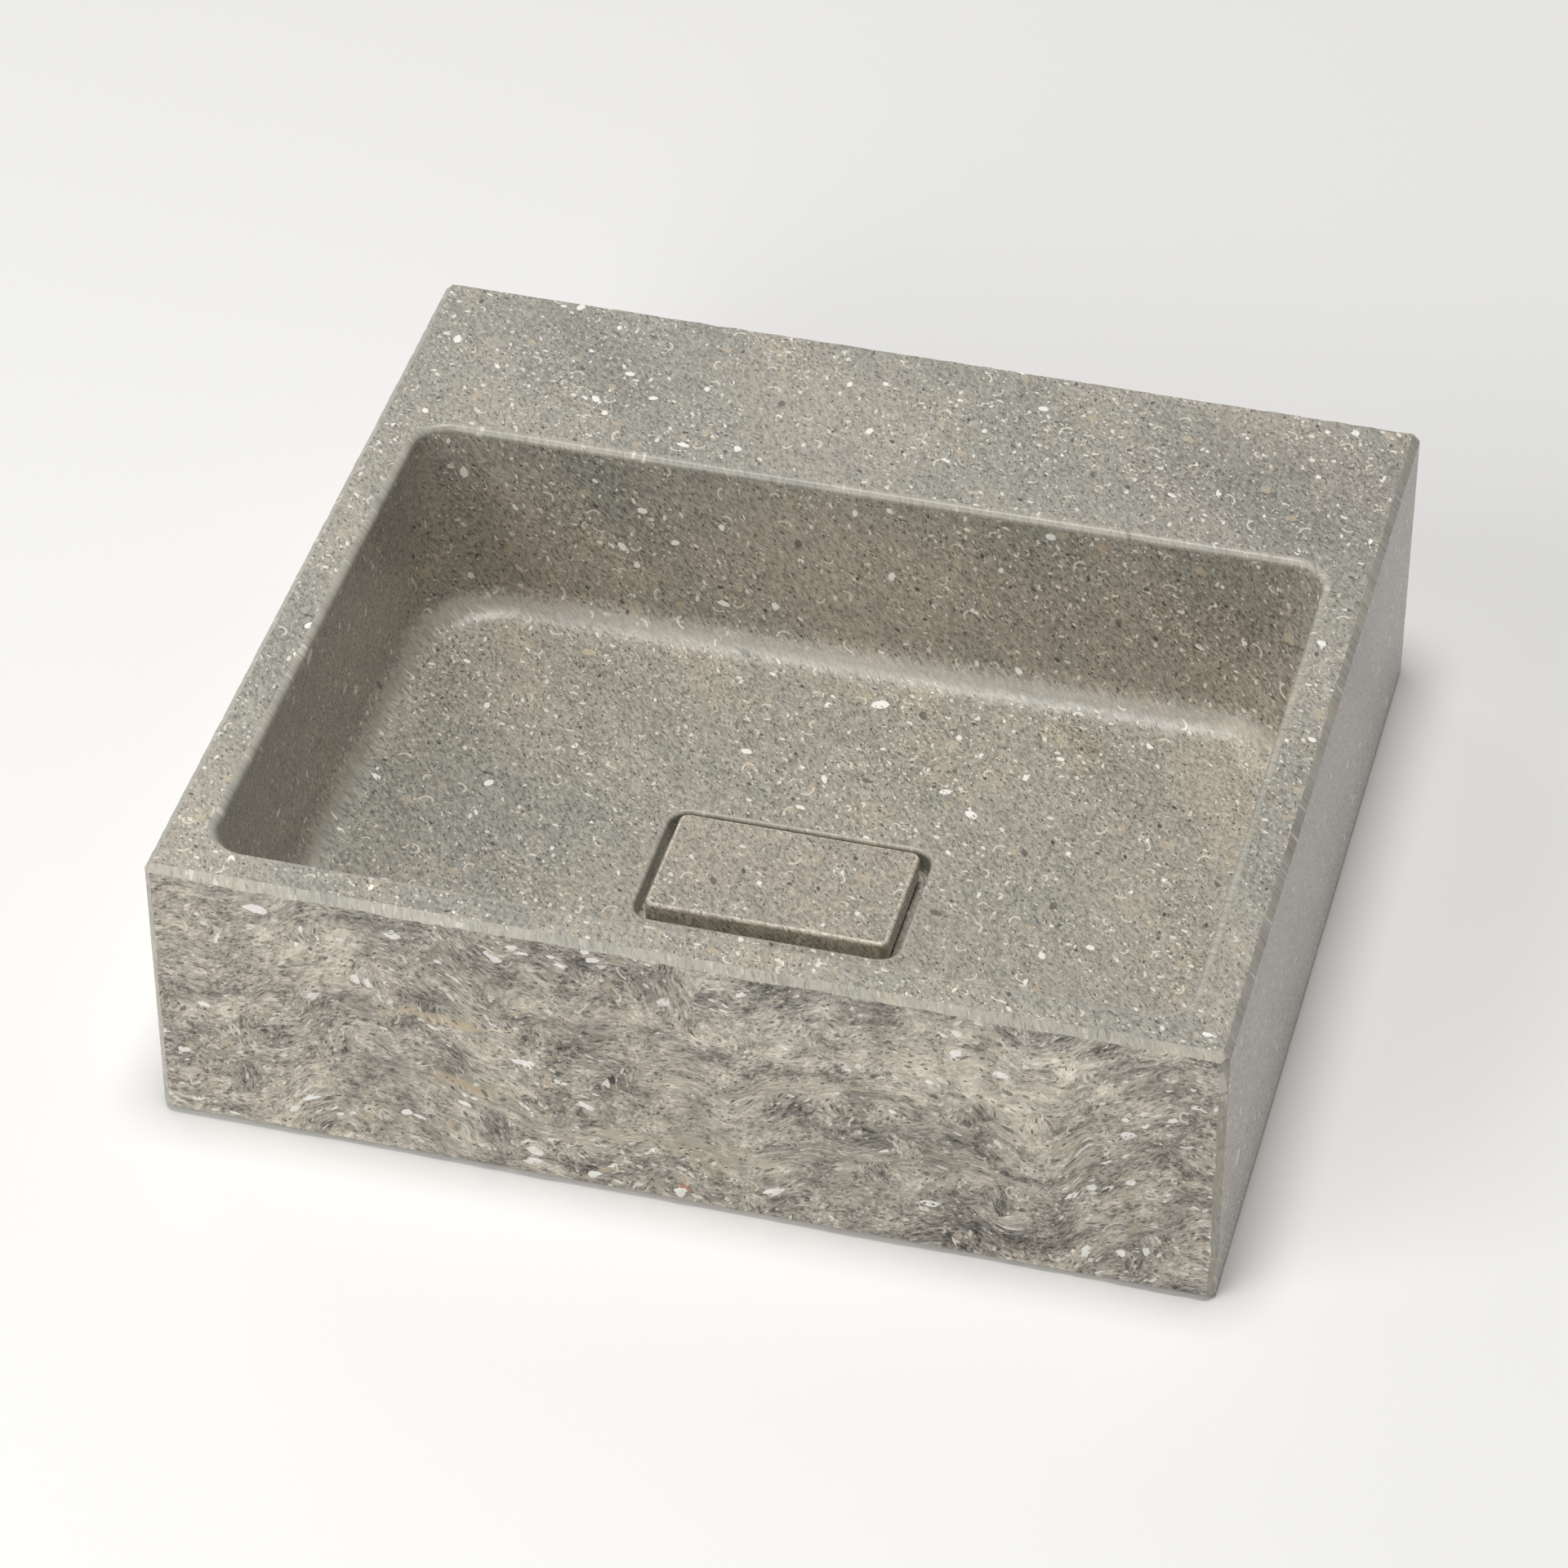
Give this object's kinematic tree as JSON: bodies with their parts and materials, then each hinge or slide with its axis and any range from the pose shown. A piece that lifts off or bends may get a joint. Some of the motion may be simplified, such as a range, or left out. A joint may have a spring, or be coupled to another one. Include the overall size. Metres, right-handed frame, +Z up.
{
  "type": "countertop basin",
  "caption": "Rectangular stone countertop basin with a split front, a flat tap deck at the back, and a loose stone cover over its waste.",
  "frame": {"origin": "centre of the block's underside", "axes": "+X to the right seen from the front, +Y back towards the tap deck and the wall, +Z up"},
  "size_m": [0.5, 0.4698, 0.15],
  "materials": {
    "fossil_stone": "honed fossil limestone, grey-brown with cream shell chips; split face in front",
    "pad_rubber": "matt moulded",
    "chromed_brass": "bright",
    "stainless_steel": "satin",
    "seal_rubber": "matt moulded",
    "washer_plastic": "natural",
    "raw_brass": "as turned"
  },
  "bodies": {
    "basin": {"basin_block": "fossil_stone", "waste_body": "chromed_brass", "strainer": "stainless_steel", "strainer_screw": "stainless_steel", "flange_seal": "seal_rubber", "base_seal": "seal_rubber", "slip_washer": "washer_plastic", "back_nut": "raw_brass"},
    "cover": {"drain_cover": "fossil_stone", "cover_pads": "pad_rubber"}
  },
  "joints": [
    {"name": "cover_lift", "type": "slide", "parent": "basin", "child": "cover", "axis": [0, 0, 1], "range_m": [0, 0.13]}
  ]
}
